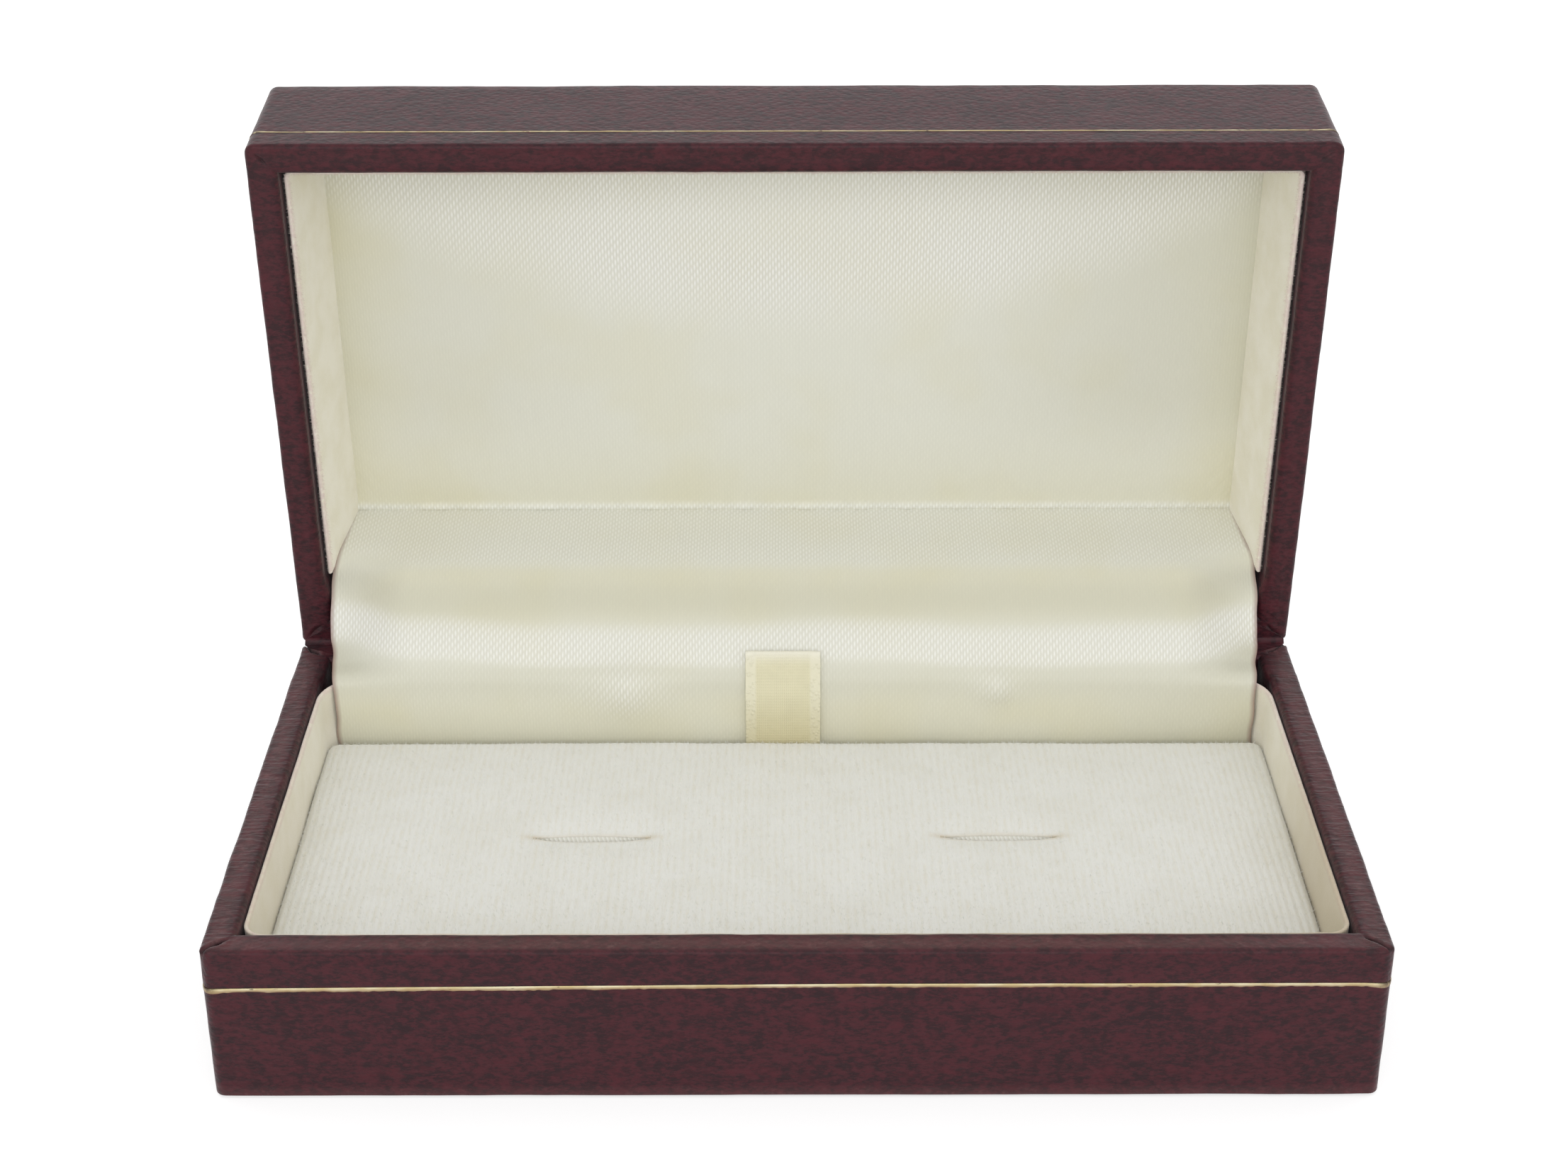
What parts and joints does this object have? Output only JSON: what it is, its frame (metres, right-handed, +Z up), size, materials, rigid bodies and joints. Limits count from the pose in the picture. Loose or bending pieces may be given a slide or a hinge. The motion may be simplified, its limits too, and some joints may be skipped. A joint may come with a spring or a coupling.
{
  "type": "cufflink display box",
  "caption": "Hinged leatherette display box for cufflinks, shown open, with a padded satin lid lining, a satin flap over the spring hinges and a lift-out ribbed velvet pad with slots.",
  "frame": {"origin": "middle of the underside, where the box stands", "axes": "+X to the right along the hinge, +Y to the back, +Z up; the rest pose has the lid open at 84.5 degrees"},
  "size_m": [0.0952, 0.0653, 0.0668],
  "materials": {
    "leatherette": "burgundy leatherette, mottled darker, satin gloss",
    "gold_line": "pale gold foil line",
    "board": "plain grey board",
    "velour": "smooth cream velour on card",
    "satin": "cream satin, soft sheen",
    "velvet": "off-white ribbed velvet, matt",
    "wadding": "foam and wadding",
    "ribbon": "cream woven ribbon",
    "hinge_steel": "bright spring steel",
    "bottom_sheet": "thin matt covering sheet"
  },
  "bodies": {
    "base": {"base_bottom_cover": "bottom_sheet", "base_body_wrap": "leatherette", "base_gold_line": "gold_line", "base_rim_wrap": "leatherette", "base_floor_board": "board", "base_wall_front": "board", "base_wall_back": "board", "base_wall_left": "board", "base_wall_right": "board", "base_floor_lining": "velour", "base_liner": "velour", "hinge_leaf_lower_left": "hinge_steel", "hinge_leaf_lower_right": "hinge_steel", "hinge_pin_lower_left": "hinge_steel", "hinge_pin_lower_right": "hinge_steel", "spring_bow_left": "hinge_steel", "spring_bow_right": "hinge_steel", "hinge_leather": "leatherette", "satin_flap": "satin"},
    "lid": {"lid_body_wrap": "leatherette", "lid_gold_line": "gold_line", "lid_rim_wrap": "leatherette", "lid_top_board": "board", "lid_wall_front": "board", "lid_wall_back": "board", "lid_wall_left": "board", "lid_wall_right": "board", "lid_liner": "velour", "lid_pad_card": "board", "lid_pad_wadding": "wadding", "lid_pad_satin": "satin", "hinge_leaf_upper_left": "hinge_steel", "hinge_leaf_upper_right": "hinge_steel", "hinge_pin_upper_left": "hinge_steel", "hinge_pin_upper_right": "hinge_steel"},
    "insert": {"insert_card": "board", "insert_foam": "wadding", "insert_velvet": "velvet", "slot_tape_left": "ribbon", "slot_tape_right": "ribbon", "pull_tab": "ribbon"}
  },
  "joints": [
    {"name": "lid_hinge", "type": "hinge", "parent": "base", "child": "lid", "pos_m": [0, 0.0257, 0.01435], "axis": [1, 0, 0], "range_deg": [0, 84.5], "deforming": ["satin_flap", "hinge_leather", "spring_bow_left", "spring_bow_right"]},
    {"name": "pad_lift", "type": "slide", "parent": "base", "child": "insert", "axis": [0, 0, 1], "range_m": [0, 0.0113], "deforming": ["pull_tab"]}
  ]
}
